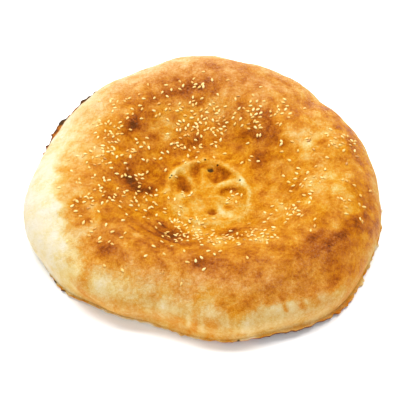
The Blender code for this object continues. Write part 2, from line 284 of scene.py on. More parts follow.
TOP_PATCHES = (  # extra bake, x, y, half length, half width, turn in degrees unless it is 0
    (0.36, -56, 52, 9, 7, 40),  # the dark patches
    (0.44, -58, -2, 12, 6, 110),
    (0.36, -46, -11, 9, 6),
    (0.2, -24, -54, 15, 9, 310),
    (0.45, -68, -81, 13, 8, 322),
    (0.29, 0, -91, 13, 6, 352),
    (0.2, 32, -96, 13, 6),
    (0.3, 49, 44, 17, 9, 335),
    (0.28, 47, 20, 8, 7),
    (0.2, -8, 90, 22, 6, 20),
    (0.18, 9, 93, 7, 5),
    (0.14, 7, 119, 5, 7),
    (0.21, 84, -66, 16, 7.5, 46),
    (0.33, 111, -57, 18, 8, 44),
    (0.22, 101, -84, 10, 13, 340),
    (0.18, 132, -28, 8, 20, 340),
    (0.22, 67, -12, 6, 7),
    (0.12, 42, -77, 22, 7),
    (0.18, 30, 73, 6, 5),
    (0.2, -32, 80, 20, 5, 25),
    (0.25, -61, 77, 8, 9),
    (0.16, -8, 48, 18, 7, 35),
    (0.14, 12, 42, 12, 6),
    (0.17, -36, 27, 28, 9, 30),  # broad browning of the dish's slope, and smaller places
    (0.12, -38, -45, 26, 15, 315),
    (0.13, -80, -12, 22, 12, 350),
    (0.16, -37, -1, 10, 11),
    (0.22, -38, 95, 12, 7, 10),
    (0.14, -14, 101, 16, 5),
    (0.1, -50, 66, 12, 9, 40),
    (0.2, -3, 77, 5, 7, 40),
    (0.14, 16, 60, 9, 6),
    (0.18, 50, 58, 7, 5),
    (0.14, 46, 87, 5, 6),
    (0.34, 32, 128, 8, 10),
    (0.22, 11, 37, 6, 4.5),
    (0.16, 72, -84, 18, 6, 15),
    (0.1, -37, -42, 5, 6),
    (0.24, -92, -86, 8, 6, 340),
    (0.14, 112, 76, 8, 13, 20),
    (0.14, -76, 42, 7, 11),
    (0.14, -72, -44, 5, 8),
    (0.14, -50, -30, 7, 6),
    (0.14, -63, -62, 6, 5),
    (0.12, -94, -36, 5, 7),
    (0.12, -109, 3, 6, 8),
    (0.12, -45, -91, 16, 6),
    (0.14, -30, -78, 6, 6),
    (0.12, 23, -50, 6, 7),
    (0.1, 50, -14, 7, 12),
    (0.12, 90, 78, 20, 7, 350),
    (0.12, 55, 66, 8, 8),
    (0.12, 38, 96, 5, 12, 10),
    (0.14, 124, 36, 6, 9),
    (0.14, 101, 31, 6, 3, 20),
    (0.08, 124, 0, 8, 7),
    (-0.2, -26, 118, 18, 8, 20),  # the paler ones; those near x 70 to 107, y 26 to 41, on the right-back crest, are painted highlights
    (-0.19, 12, 130, 24, 12),
    (-0.08, -88, 66, 8, 20, 340),
    (-0.38, -101, 18, 12, 8, 120),
    (-0.24, -84, 24, 5, 12),
    (-0.14, -104, -14, 9, 10),
    (-0.14, -95, -24, 5, 5),
    (-0.1, -98, -48, 7, 5),
    (-0.26, -92, -61, 14, 11, 40),
    (-0.14, -80, -94, 20, 5, 345),
    (-0.24, 86, 27, 6, 12, 340),
    (-0.22, 101, 40, 6, 7),
    (-0.2, 107, 26, 7, 5, 330),
    (-0.28, 102, -5, 15, 11),
    (-0.22, 87, -14, 5, 14, 350),
    (-0.2, 112, -30, 5, 14, 10),
    (-0.11, 88, 53, 13, 13),
    (-0.19, 70, 39, 11, 5.5, 320),
    (-0.16, 80, 15, 9, 7),
    (-0.18, 80, 88, 7, 11),
    (-0.12, 52, 112, 5, 18),
    (-0.34, 140, -10, 4, 12),
    (-0.18, 60, 88, 9, 9),
    (-0.22, 66, 58, 5, 9),
    (-0.24, 44, 75, 4, 7, 340),
    (-0.24, -9, 64, 6, 4, 30),
    (-0.18, 22, 80, 5, 5),
    (-0.12, 36, 90, 4, 6),
    (-0.12, -28, 56, 8, 4),
    (-0.14, 2, 58, 4, 3),
    (-0.18, 53, -39, 9, 6),
    (-0.1, 84, -36, 6, 4),
    (-0.2, 101, -54, 7, 5),
    (-0.14, 43, -66, 9, 4.5, 20),
    (-0.26, 13, -63, 3.5, 8),
    (-0.18, -12, -42, 12, 6, 330),
    (-0.14, -3, -52, 7, 9),
    (-0.26, -5, -81.5, 4.5, 4.5),
    (-0.19, 48, -102, 6, 10),
    (-0.14, 0, -111, 16, 7),
    (-0.16, 16, -117, 12, 7),
    (-0.14, 35, -115, 8, 6, 340),
    (-0.12, -112, 16, 7, 10),
    (-0.08, -110, -20, 6, 6),
    (-0.08, -85, -33, 5, 6),
    (-0.12, -58, -54, 5, 7, 20),
    (-0.1, -45, -14, 6, 9, 30),
    (-0.12, 25, -36, 5, 8),
    (-0.14, 5, -42, 8, 3.5, 10),
    (-0.09, 88, 25, 40, 4),
    (-0.11, 102, 73, 5, 10),
    (-0.08, 109, -12, 5, 9),
    (-0.08, 97, -15, 3.5, 7),
    (-0.08, 116, -40, 7, 6),
    (-0.08, 27, -90, 4, 5, 320),
    (-0.08, -13, -95, 5, 4),
    (-0.24, -19, 102, 5.5, 4.5),
    (0.16, -88, 98, 12, 20, 330),  # more of both
    (0.13, -10, 136, 14, 9),
    (0.08, 116, 78, 8, 10, 30),
    (0.09, 134, 14, 8, 10, 20),
    (0.12, -52, 17, 5, 5),
    (0.1, -36, 43, 7, 5, 40),
    (0.1, -55, 58, 10, 5),
    (0.1, -68, -22, 6, 6, 30),
    (0.09, -28, -94, 8, 4, 330),
    (-0.14, 24, 112, 4, 12, 10),
    (-0.14, -14, 84, 3, 6),
    (-0.26, -94, 32, 6, 12, 5),
    (-0.16, -28, 38, 3, 6),
    (-0.1, -25, 57, 7, 3.5, 340),
    (-0.16, 88, 35, 10, 5),
    (-0.12, -52, -5, 4, 6),
    (-0.1, -40, -18, 6, 6, 30),
    (-0.12, -22, -28, 3.5, 10),
    (-0.12, -84, -36, 4, 7),
    (-0.12, -65, -36, 4, 5),
    (-0.24, 63, -30, 4.5, 4),
    (-0.1, 55, -48, 5, 5),
    (-0.14, 30, -95, 5, 3, 20),
    (-0.17, 74, -72, 4, 9),
    (0.14, 79, -80, 5, 11, 340),
    (0.08, 70, -95, 8, 6, 20),
    (0.14, -42, -76, 3.5, 6),
    (0.12, -85, -50, 6, 4, 40),
    (0.2, -107, -50, 6, 8, 20),
    (0.1, -3, -21, 4, 3),
    (0.12, -76, 111, 14, 8, 350),
    (0.14, 5, 122, 6, 7),
    (0.15, 72, 114, 6, 9),
    (0.08, 8, 94, 22, 5),
    (0.12, -58, 47, 11, 6, 320),
    (0.14, -22, 43, 5, 6),
    (0.16, -5, 58, 3, 3.5),
    (0.1, -5, 41, 7, 4),
    (0.1, -80, 40, 6, 9),
    (0.09, 40, 14, 10, 7),
    (0.14, 68, 50, 8, 4, 340),
    (0.1, 46, 84, 7, 5),
    (0.08, 33, 62, 9, 6, 300),
    (0.1, 89, -17, 5, 5),
    (0.09, 92, 8, 5, 4),
    (0.08, 38, -22, 5, 6),
    (0.08, -108, -32, 4, 7),
    (0.08, 107, -68, 12, 7, 40),
    (0.07, 88, -53, 10, 5),
    (0.09, -50, -92, 8, 6),
    (0.08, -34, -97, 6, 5),
    (0.08, -8, -86, 5, 18, 25),
    (0.1, 20, -57, 4, 6),
    (-0.16, -16.6, -11.3, 5, 3),  # inside the stamp's print; its paler rows are partly paler crust, partly painted highlights on the ring's crest and ridges
    (-0.22, 15, -27, 3.6, 6),
    (-0.1, 22.5, -30, 3, 4),
    (0.2, 21, -23.5, 4, 2.4),
    (-0.1, 26, -14, 5, 4),
    (-0.2, -24, 7.6, 4.5, 1.8, 58),
    (-0.12, -13.5, 18.2, 4, 1.6, 40),
    (-0.26, 32, -0.5, 6, 2.8, 315),
    (-0.12, 20, 20, 11, 2.8, 322),
    (-0.1, 6, 26.5, 6, 3),
    (-0.2, -10, 4.5, 9.5, 1.6, 118),
    (-0.18, 0.4, 6.5, 9.5, 1.4, 92),
    (-0.2, 10.5, 21.5, 8, 3, 338),
    (-0.16, 2, 23.5, 8, 2.4, 355),
    (-0.14, 13.5, -2.5, 4, 1.6, 40),
    (-0.18, 21, 1.6, 6.5, 1.8, 10),
    (0.08, -13.5, -4, 4.5, 3.4, 112),
    (0.16, -5, 10, 5.5, 2.6, 110),
    (0.26, -1, 18, 6.5, 2.4, 8),
    (0.24, 19, 11.5, 7.5, 2.4, 318),
    (0.16, 11, 4, 2, 4.5),
    (0.3, 16.8, -7, 4.5, 2, 45),
    (0.32, 23.8, -5.2, 5.5, 2, 352),
    (0.2, 29.5, -9.5, 4, 2, 315),
    (0.16, 7.8, -29, 3.2, 2.6),
    (0.12, 4, -9, 5, 6),
    (0.08, -4, -19, 4, 4),
)
SIDE_PATCHES = (  # bearing, station, spread in degrees, spread in stations, extra bake
    (226.5, 1.68, 2.5, 0.28, 0.26),
    (218, 1.57, 2, 0.06, 0.14),
    # a painted highlight
    (233.5, 1.6, 3.5, 0.2, -0.14),
    (245, 1.6, 7, 0.05, 0.08),
    (258.5, 1.74, 5, 0.08, -0.14),
    (273.5, 1.45, 1.3, 0.25, -0.14),
    (273, 1.81, 3, 0.1, 0.16),
    (297.2, 1.68, 0.9, 0.1, 0.36),
    (315, 1.8, 3, 0.14, -0.06),
    (336, 1.85, 4, 0.2, -0.12),
    (302.5, 1.72, 1.2, 0.08, 0.24),
    (307, 1.76, 1.6, 0.06, 0.2),
    (229, 2.2, 7, 0.35, 0.1),
    (248, 2.75, 24, 0.45, 0.04),
    (241, 1.95, 5, 0.14, 0.06),
    (250, 2.35, 8, 0.2, 0.05),
    (262, 2, 1.6, 0.6, 0.12),
    (265.4, 1.72, 1.2, 0.12, 0.12),
    (270.2, 1.72, 1.5, 0.14, 0.22),
    # these three paint light streaks down the pleats, with painted shade between them
    (265.2, 1.9, 0.9, 0.7, -0.12),
    (270, 1.9, 0.8, 0.6, -0.14),
    (267.6, 1.85, 1, 0.6, 0.1),
    (286, 2.3, 6, 0.25, 0.05),
    (325, 2.3, 9, 0.4, 0.08),
)
ROSY_ALL = 0.25
ROSY_PATCHES = (  # where the brown is duller and pinker than the golden rest, as TOP_PATCHES
    (0.75, -10, 112, 90, 34),
    (0.35, 50, 80, 40, 26, 320),
    (0.25, -80, 70, 40, 24, 45),
    (0.6, 20, -104, 80, 16, 355),
    (0.55, 92, -74, 22, 12, 45),
    (0.3, -70, -70, 30, 20, 320),
    (0.2, -95, -10, 16, 40),
    (-0.25, 0, -15, 60, 45),
    (-0.22, 125, -45, 22, 55, 345),
)
FOOT_BAKE, FOOT_BAKE_FROM, FOOT_BAKE_FADE = 0.02, 2.2, 0.8  # the last two are stations
LIP_BAKE, LIP_MOTTLE = 0.19, 2.0
LIP_TONES = (  # extra bake
    (150, 22, 0.55),
    (128, 8, 0.4),
    (221, 10, 0.22),
    (250, 22, 0.05),
    (315, 10, 0.26),
    (345, 14, 0.14),
)
# painted shadow under the lifted lip, laid as extra bake on its lower edge: bearing, spread, amount
LIP_UNDER_SHADOW = ((297, 20, 0.9),)
LIP_SHADOW_FROM, LIP_SHADOW_FADE = 3.9, 0.5
CHARRED_AND_CRACK_SHADE = (  # how charred the lip is, with the painted shade of a crack in it at 281.5
    (152, 10, 0.5),
    (144.5, 3, 0.6),
    (131, 7, 0.8),
    (214.5, 1, 0.9),
    (219, 1.2, 0.7),
    # painted shade: the dark of a crack in the lip
    (281.5, 0.5, 1),
)
CHAR_END, CHAR_FADE = 5.08, 0.08
UNDER_BAKE, UNDER_FADE = 0.58, 0.12
UNDER_SETS, UNDER_DRAW = ((45, 20, 0.1), (14, 30, 0.07)), 79
BURNT_AT, BURNT_SIZE, BURNT_DEPTH = (6.9, 15.5), (3.2, 2.2), 1.6
PIN_HOLES = ((2.7, 24.3), (12.7, 18.7), (-24.2, 6.6), (-25.6, 4.2), (30.5, 1.6))
PIN_RADIUS = 0.8
PIN_EDGE = (0.5, 1.2)  # of its radius, where a mark begins to fade and ends
PIN_SQUASH = 0.1  # of heights, so that a mark follows the uneven crust but misses the underside

# ---------------- seeds
SEED_LENGTH, SEED_WIDTH, SEED_HEIGHT = 3.4, 2.0, 1.3
SEED_UNEVENNESS = 0.12
SEED_RISE = 0.15
SEED_GAP = 2.3
SEED_TRIES = 6
SEED_DRAW = 11
DROP_HEIGHT = 100.0
SEED_CLUSTERS = (  # x, y, spread along x, spread along y, count
    (1, 62, 12, 10, 76),
    (-8, 93, 13, 4, 14),
    (46, 62, 11, 11, 34),
    (-75, 48, 11, 11, 22),
    (-83, 21, 10, 8, 28),
    (-87, -25, 10, 14, 36),
    (-48, 2, 13, 11, 25),
    (-47, -25, 13, 9, 32),
    (-14, -44, 13, 8, 38),
    (14, -62, 14, 6, 36),
    (42, -62, 9, 5, 26),
    (63, -42, 12, 9, 27),
    (81, -11, 12, 11, 24),
    (110, 30, 8, 8, 14),
    (113, -25, 9, 14, 16),
    (81, 32, 13, 10, 12),
    (-17, 33, 12, 10, 22),
    (-69, -63, 12, 10, 13),
    (-19, -84, 24, 8, 18),
    (25, -10, 5, 4, 8),
    (-14, -10, 3, 3, 4),
    (-30, 72, 13, 8, 20),
    (-62, 66, 9, 7, 12),
    (-53, 29, 12, 10, 9),
    (34, 26, 9, 8, 7),
    (-6, -56, 9, 5, 16),
    (118, 34, 6, 7, 8),
    (60, 64, 14, 8, 8),
    (-72, 40, 14, 14, 12),
)
SEED_SIDES, SEED_BANDS = 8, 7
SEED_TAPER, SEED_TIP = (0.28, 0.12), 1.06  # for a half length of 1
SEED_LEAN = 0.12
TOAST_SHAPE = (1.5, 2.4)  # of a beta distribution
TOAST_DRAW = 31

# ---------------- camera and light
CAMERA_ELEVATION = 52.0
CAMERA_DISTANCE = 1100.0
FRAME_WIDTH = 320.0  # what the picture takes in, at the distance of the aim
AIM = (-1.5, -12.0, 20.0)
SENSOR_WIDTH = 36.0
CLIP_START = 0.05  # metres, as all sizes below
LAMPS = (  # name, bearing, elevation, distance, width, height, power
    ("key", 88.0, 67.0, 1.8, 2.4, 0.7, 66.0),
    ("fill", 228.0, 20.0, 2.2, 1.6, 1.6, 20.0),
)
WORLD_LIGHT = 0.56
FLOOR_SIZE, FLOOR_DROP, FLOOR_TONE = 20.0, 0.0002, 0.97


def bump(distance, spread):
    """A smooth hill of height 1 at distance 0."""
    return np.exp(-((distance / spread) ** 2))


def ease(share):
    """A smooth step from 0 to 1, level at both ends."""
    share = np.clip(share, 0.0, 1.0)
    return share * share * (3.0 - 2.0 * share)


def risen(station, start, fade):
    """0 up to that station, and 1 after a smooth rise."""
    return ease((station - start) / fade)


def turned(bearing, other):
    """The angle between two bearings, from -180 to 180."""
    return (bearing - other + 180.0) % 360.0 - 180.0


def by_bearing(bearing, hills):
    """The sum of the hills, each given as its bearing, spread and height."""
    return sum(height * bump(turned(bearing, at), spread) for at, spread, height in hills)


def outline(bearing):
    """How far the side reaches from the middle."""
    return REACH + by_bearing(bearing, BULGES)


def crown_height(radius, crest, crest_height):
    """The top, from the dish in the middle to the crest of the ring."""
    climb = ease((radius - DISH_RADIUS) / (crest - DISH_RADIUS))
    return DISH_HEIGHT + (crest_height - DISH_HEIGHT) * climb


def section(bearing, station):
    """(radius, height) of points of the plain body."""
    reach = outline(bearing)
    widest_height = WIDEST_HEIGHT + by_bearing(bearing, WIDEST_SAGS)
    crest = CREST_RADIUS + by_bearing(bearing, CREST_SHIFTS)
    crest_height = CREST_HEIGHT + by_bearing(bearing, CREST_SWELLS)
    power = 2.0 / (SHOULDER_POWER + by_bearing(bearing, STRAIGHTER))
    foot = reach - by_bearing(bearing, TUCKS)
    lip = foot + LIP_REACH + by_bearing(bearing, LIP_FLARES)
    lift = by_bearing(bearing, LIP_LIFTS)
    lip_top = lift + LIP_THICKNESS

    leg = np.minimum(station.astype(int), 5)  # the last of the six between two stations
    share = station - leg
    sine = np.sin(share * math.pi / 2.0)
    cosine = np.maximum(np.cos(share * math.pi / 2.0), 0.0)
    lip_under = lift * ease((1.0 - share - FLAT_SHARE) / (1.0 - FLAT_SHARE))
    radius = (
        share * crest,
        crest + (reach - crest) * sine**power,
        foot + (reach - foot) * cosine,
        foot + (lip - foot) * share,
        lip - LIP_ROUNDING * share,
        (lip - LIP_ROUNDING) * (1.0 - share),
    )
    height = (
        crown_height(share * crest, crest, crest_height),
        widest_height + (crest_height - widest_height) * cosine**power,
        lip_top + (widest_height - lip_top) * (1.0 - sine),
        lip_top - LIP_ROUNDING * share**2,
        lip_top - LIP_ROUNDING - (LIP_THICKNESS - LIP_ROUNDING) * share,
        lip_under,
    )
    return np.choose(leg, radius), np.choose(leg, height)


def plain_body(bearing, station):
    """The points of the plain body: the dish lies round the stamp, the ring round the middle."""
    radius, height = section(bearing, station)
    angle = np.radians(bearing)
    dish = ease(CREST - station)
    x = radius * np.cos(angle) + STAMP_AT[0] * dish
    y = radius * np.sin(angle) + STAMP_AT[1] * dish
    return np.stack((x, y, height), axis=-1)


def petal_shares(x, y):
    """For each petal of the stamp's print, how far each point lies in it, from 0 to 1."""
    shares = []
    for middle_x, middle_y, half_length, half_width, bearing, flare, _ in PETALS:
        across_x, across_y = x - STAMP_AT[0] - middle_x, y - STAMP_AT[1] - middle_y
        cosine, sine = math.cos(math.radians(bearing)), math.sin(math.radians(bearing))
        along = (across_x * cosine + across_y * sine) / half_length
        width = half_width * (1.0 + flare * np.clip(along, -FLARE_LIMIT, FLARE_LIMIT))
        across = (across_y * cosine - across_x * sine) / width
        edge = (1.0 + PETAL_SLOPE - np.hypot(along, across)) / (2.0 * PETAL_SLOPE)
        shares.append(ease(edge))
    return shares


def ring_distance(x, y):
    """How far each point lies outside the crest of the stamp's raised ring."""
    x, y = x - STAMP_AT[0], y - STAMP_AT[1]
    return np.hypot(x, y) - RING_RADIUS - by_bearing(np.degrees(np.arctan2(y, x)), RING_SHIFTS)


def ring_share(x, y):
    """How far each point lies on the stamp's raised ring, from 0 to 1."""
    return bump(ring_distance(x, y), RING_WIDTH)


def stamp_relief(x, y):
    """The raised ring of the stamp's print and the petals pressed in it."""
    height = RING_HEIGHT * ring_share(x, y)
    for petal, share in zip(PETALS, petal_shares(x, y)):
        height = height - petal[-1] * share
    return height


def crease_relief(bearing, radius, creases):
    """Creases, each a groove from one point to another that fades at its ends."""
    relief = 0.0
    for start, start_radius, end, end_radius, half_width, depth in creases:
        share = turned(bearing, start) / (end - start)
        line = start_radius + (end_radius - start_radius) * share
        fade = ease(share / CREASE_FADE) * ease((1.0 - share) / CREASE_FADE)
        relief = relief - depth * fade * bump(radius - line, half_width)
    return relief


def pleat_relief(bearing, radius):
    """Soft pleats that run outwards, down the side."""
    relief = 0.0
    for at, spread, depth, start, end in PLEATS:
        fade = ease((radius - start) / PLEAT_FADE) * ease((end - radius) / PLEAT_FADE + 1.0)
        relief = relief - depth * fade * bump(turned(bearing, at), spread)
    return relief


def lumps(points, wave_sets, seed):
    """Uneven lumps: waves in directions drawn at random, their sum mostly within the height."""
    draw = random.Random(seed)
    relief = np.zeros(len(points))
    for wavelength, count, height in wave_sets:
        for _ in range(count):
            direction = np.array([draw.gauss(0.0, 1.0) for _ in range(3)])
            direction *= 2.0 * math.pi / (wavelength * np.linalg.norm(direction))
            wave = np.cos(points @ direction + draw.uniform(0.0, 2.0 * math.pi))
            relief += wave * height * math.sqrt(2.0 / count)
    return relief


def polar(points):
    """(bearing, radius) of points, seen from above."""
    x, y = points[:, 0], points[:, 1]
    return np.degrees(np.arctan2(y, x)), np.hypot(x, y)


def relief(points, station):
    """The solid's relief: how far each point moves along its normal, above the foot."""
    bearing, radius = polar(points)
    height = stamp_relief(points[:, 0], points[:, 1]) + crease_relief(bearing, radius, CREASES)
    height = height + pleat_relief(bearing, radius) + lumps(points, WAVE_SETS, WAVE_DRAW)
    return ease(FOOT - station) * height


def blisters(points, station):
    """(height, share) of the small blisters of the browned top."""
    draw = random.Random(BLISTER_DRAW)
    height = np.zeros(len(points))
    share = np.zeros(len(points))
    top = np.flatnonzero(station < BLISTERS_END)
    plan = points[top, :2]
    nearest, furthest = BLISTER_REACHES
    for _ in range(BLISTERS):
        angle, share_out = draw.uniform(0.0, 2.0 * math.pi), draw.random() ** BLISTER_CROWDING
        reach = nearest + (furthest - nearest) * share_out
        size = draw.triangular(*BLISTER_RADII, BLISTER_RADII[0])
        middle = np.array((reach * math.cos(angle), reach * math.sin(angle)))
        near = bump(np.linalg.norm(plan - middle, axis=1), size)
        height[top] = np.maximum(height[top], near * size * BLISTER_RISE)
        share[top] = np.maximum(share[top], near)
    return height, share


def rags(bearing):
    """How far the ragged lip stands out at each bearing: waves round it, crumbs and flakes."""
    draw = random.Random(RAG_DRAW)
    angle = np.radians(bearing)
    out = by_bearing(bearing, LIP_SHIFTS) + by_bearing(bearing, FLAKES)
    for lowest, highest, size in RAGS:
        for count in range(lowest, highest, RAG_STEP):
            out += size / RAG_SPLIT * np.cos(count * angle + draw.uniform(0.0, 2.0 * math.pi))
    crumbs = np.zeros(len(bearing))
    for _ in range(CRUMBS):
        at, spread, size = draw.uniform(0.0, 360.0), draw.uniform(*CRUMB_SPREADS), draw.random()
        crumbs = np.maximum(crumbs, size * bump(turned(bearing, at), spread))
    return out + (CRUMB_SIZE + by_bearing(bearing, CRUMBLIER)) * crumbs


def disc_places(cells):
    """(bearing, rho) of a square grid bent to a disc, row by row. Rho is 1 on its border."""
    line = np.linspace(-1.0, 1.0, cells + 1)
    across, up = np.meshgrid(line, line, indexing="ij")
    across, up = across.ravel(), up.ravel()
    rho = np.maximum(np.abs(across), np.abs(up))
    safe = np.where(rho > 0.0, rho, 1.0)
    sides = (
        (across >= np.abs(up), 45.0 * up / safe),
        (up >= np.abs(across), 90.0 - 45.0 * across / safe),
        (-across >= np.abs(up), 180.0 - 45.0 * up / safe),
        (-up >= np.abs(across), 270.0 + 45.0 * across / safe),
    )
    bearing = np.select([where for where, _ in sides], [value for _, value in sides])
    return bearing, rho


def disc_faces(cells, first, flip):
    """The grid's faces, for a grid whose first point has that index."""
    row, column = np.meshgrid(np.arange(cells), np.arange(cells), indexing="ij")
    corner = (first + row * (cells + 1) + column).ravel()
    faces = np.stack((corner, corner + cells + 1, corner + cells + 2, corner + 1), axis=1)
    return faces[:, ::-1] if flip else faces


def disc_border(cells, first):
    """Indices of the grid's border points, anticlockwise from bearing 315."""
    steps = np.arange(cells)
    last = cells * (cells + 1)
    right = last + steps
    top = last + cells - steps * (cells + 1)
    left = cells - steps
    bottom = steps * (cells + 1)
    return first + np.concatenate((right, top, left, bottom))


def crust_grid():
    """(bearing, station, faces) of the crust: a bent grid, rows round the side, a bent grid."""
    columns = 4 * TOP_CELLS
    under_cells = TOP_CELLS // 2
    bearing, rho = disc_places(TOP_CELLS)
    bearings, stations = [bearing], [rho * TOP_STATION]
    faces = disc_faces(TOP_CELLS, 0, False).tolist()
    ring = disc_border(TOP_CELLS, 0)
    first = len(bearing)
    row_bearing = bearing[ring]
    rows = np.concatenate([np.linspace(low, high, count + 1)[1:] for low, high, count in SIDE_ROWS])
    for station in rows[:-1]:
        below = first + np.arange(columns)
        quads = np.stack((ring, below, np.roll(below, -1), np.roll(ring, -1)), axis=1)
        faces += quads.tolist()
        bearings.append(row_bearing)
        stations.append(np.full(columns, station))
        ring = below
        first += columns
    bearing, rho = disc_places(under_cells)
    bearings.append(bearing)
    stations.append(UNDER_MIDDLE - rho * (UNDER_MIDDLE - UNDER_STATION))
    faces += disc_faces(under_cells, first, True).tolist()
    border = disc_border(under_cells, first)
    for place, corner in enumerate(border):
        after = border[(place + 1) % len(border)]
        outer = [ring[(2 * place + step) % columns] for step in range(3)]
        faces.append([outer[0], corner, after, outer[2], outer[1]])
    return np.concatenate(bearings), np.concatenate(stations), faces


def mesh_of(name, points, faces):
    mesh = bpy.data.meshes.new(name)
    mesh.from_pydata(points, [], faces)
    mesh.update()
    return mesh


def moved(points, faces, distance):
    """The points, each moved that far along the normal of the surface there."""
    mesh = mesh_of("trial", points, faces)
    normals = np.empty(len(points) * 3)
    mesh.vertex_normals.foreach_get("vector", normals)
    bpy.data.meshes.remove(mesh)
    return points + normals.reshape(-1, 3) * distance[:, None]


def round_the_bread(bearing, rows):
    """Values at each bearing, between rows of one bearing and its values."""
    at, *columns = (np.array(column) for column in zip(*rows))
    turns = np.concatenate((at - 360.0, at, at + 360.0))
    return [np.interp(bearing % 360.0, turns, np.tile(column, 3)) for column in columns]


def oval(x, y, middle_x, middle_y, half_length, half_width, turn=0.0):
    """A smooth hill of height 1 on an oval."""
    cosine, sine = math.cos(math.radians(turn)), math.sin(math.radians(turn))
    along = ((x - middle_x) * cosine + (y - middle_y) * sine) / half_length
    across = ((y - middle_y) * cosine - (x - middle_x) * sine) / half_width
    return bump(np.hypot(along, across), 1.0)


def crust_looks(points, bearing, station, blister_share):
    """How baked (0 raw, 1 dark brown), charred, rosy, and lit by painted fill light it is at each
    point; the charred values also hold the painted shade of a crack in the lip.
    """
    x, y = points[:, 0], points[:, 1]
    mottle = lumps(points, MOTTLE_SETS, MOTTLE_DRAW)
    unrolled = (bearing * STREAK_WAVE / STREAK_DEGREES, station * STREAK_STRETCH, 0.0 * station)
    streaks = lumps(np.stack(unrolled, axis=-1), STREAK_SETS, STREAK_DRAW)
    streaks = streaks * risen(station, STREAKS_FROM, STREAKS_FADE) * by_bearing(bearing, STREAKS_AT)
    wander = lumps(points, WANDER_SETS, WANDER_DRAW)
    top = TOP_BAKE + sum(amount * oval(x, y, *patch) for amount, *patch in TOP_PATCHES)
    top = top + BLISTER_BAKE * blister_share
    # darker in the wrinkles' grooves: partly browning, partly painted shade
    top = top - WRINKLE_BAKE_AND_SHADE * crease_relief(*polar(points), FINE_WRINKLES)
    on_top = station < CREST
    ring = ring_distance(x, y)
    in_stamp = ease(-ring / STAMP_FADE) * on_top
    top = top + (STAMP_BAKE - TOP_BAKE) * in_stamp
    for amount, share in zip(PETAL_BAKES, petal_shares(x, y)):
        top = top + amount * share * in_stamp
    ring_bearing = np.degrees(np.arctan2(y - STAMP_AT[1], x - STAMP_AT[0]))
    # the ring's crest made paler: partly paler crust, partly painted highlight where it catches the
    # light
    paler = RING_PALER_ALL + by_bearing(ring_bearing, RING_PALER)
    top = top - paler * bump(ring - RING_PALER_SHIFT, RING_PALER_WIDTH) * on_top
    top = np.maximum(top, PALEST_TOP)

    hem, softness, band = round_the_bread(bearing, HEM)
    side = round_the_bread(bearing, PALE_SIDE)[0]
    side = side + FOOT_BAKE * risen(station, FOOT_BAKE_FROM, FOOT_BAKE_FADE)
    for at, level, spread, rise, amount in SIDE_PATCHES:
        side = side + amount * bump(turned(bearing, at), spread) * bump(station - level, rise)
    edge = hem + wander - station
    golden = ease(edge / (2.0 * softness) + 0.5)
    browned = ease((edge - band) / (2.0 * softness + band) + 0.5)
    bake = side + (np.maximum(BAND_BAKE, side) - side) * golden
    bake = bake + (top - bake) * browned
    bake = bake + mottle * (MOTTLE_BELOW + (1.0 - MOTTLE_BELOW) * browned) + streaks

    lip = risen(station, FOOT, LIP_FADE) * (station < LIP_END)
    lip_bake = LIP_BAKE + by_bearing(bearing, LIP_TONES) + LIP_MOTTLE * mottle
    # painted shadow under the lifted lip, on its lower edge
    lower = risen(station, LIP_SHADOW_FROM, LIP_SHADOW_FADE)
    lip_bake = lip_bake + by_bearing(bearing, LIP_UNDER_SHADOW) * lower
    bake = bake * (1.0 - lip) + lip_bake * lip
    under = risen(station, LIP_LOWER, UNDER_FADE)
    bake = bake * (1.0 - under) + (UNDER_BAKE + lumps(points, UNDER_SETS, UNDER_DRAW)) * under
    char_and_crack_shade = lip * by_bearing(bearing, CHARRED_AND_CRACK_SHADE) * ease((CHAR_END - station) / CHAR_FADE)
    burnt = oval(x, y, *BURNT_AT, *BURNT_SIZE) * on_top
    rosy = ROSY_ALL + sum(amount * oval(x, y, *patch) for amount, *patch in ROSY_PATCHES)
    # painted fill light: the front side below the hem is made warmer and lighter
    painted_fill_light = risen(station, PAINTED_FILL_FROM, PAINTED_FILL_FADE) * np.minimum(1.0, by_bearing(bearing, PAINTED_FILL_PLACES))
    painted_fill_light = painted_fill_light * (station < PAINTED_FILL_END)
    return {"bake": bake, "char_and_crack_shade": np.maximum(char_and_crack_shade, burnt), "rosy": rosy, "painted_fill_light": painted_fill_light}


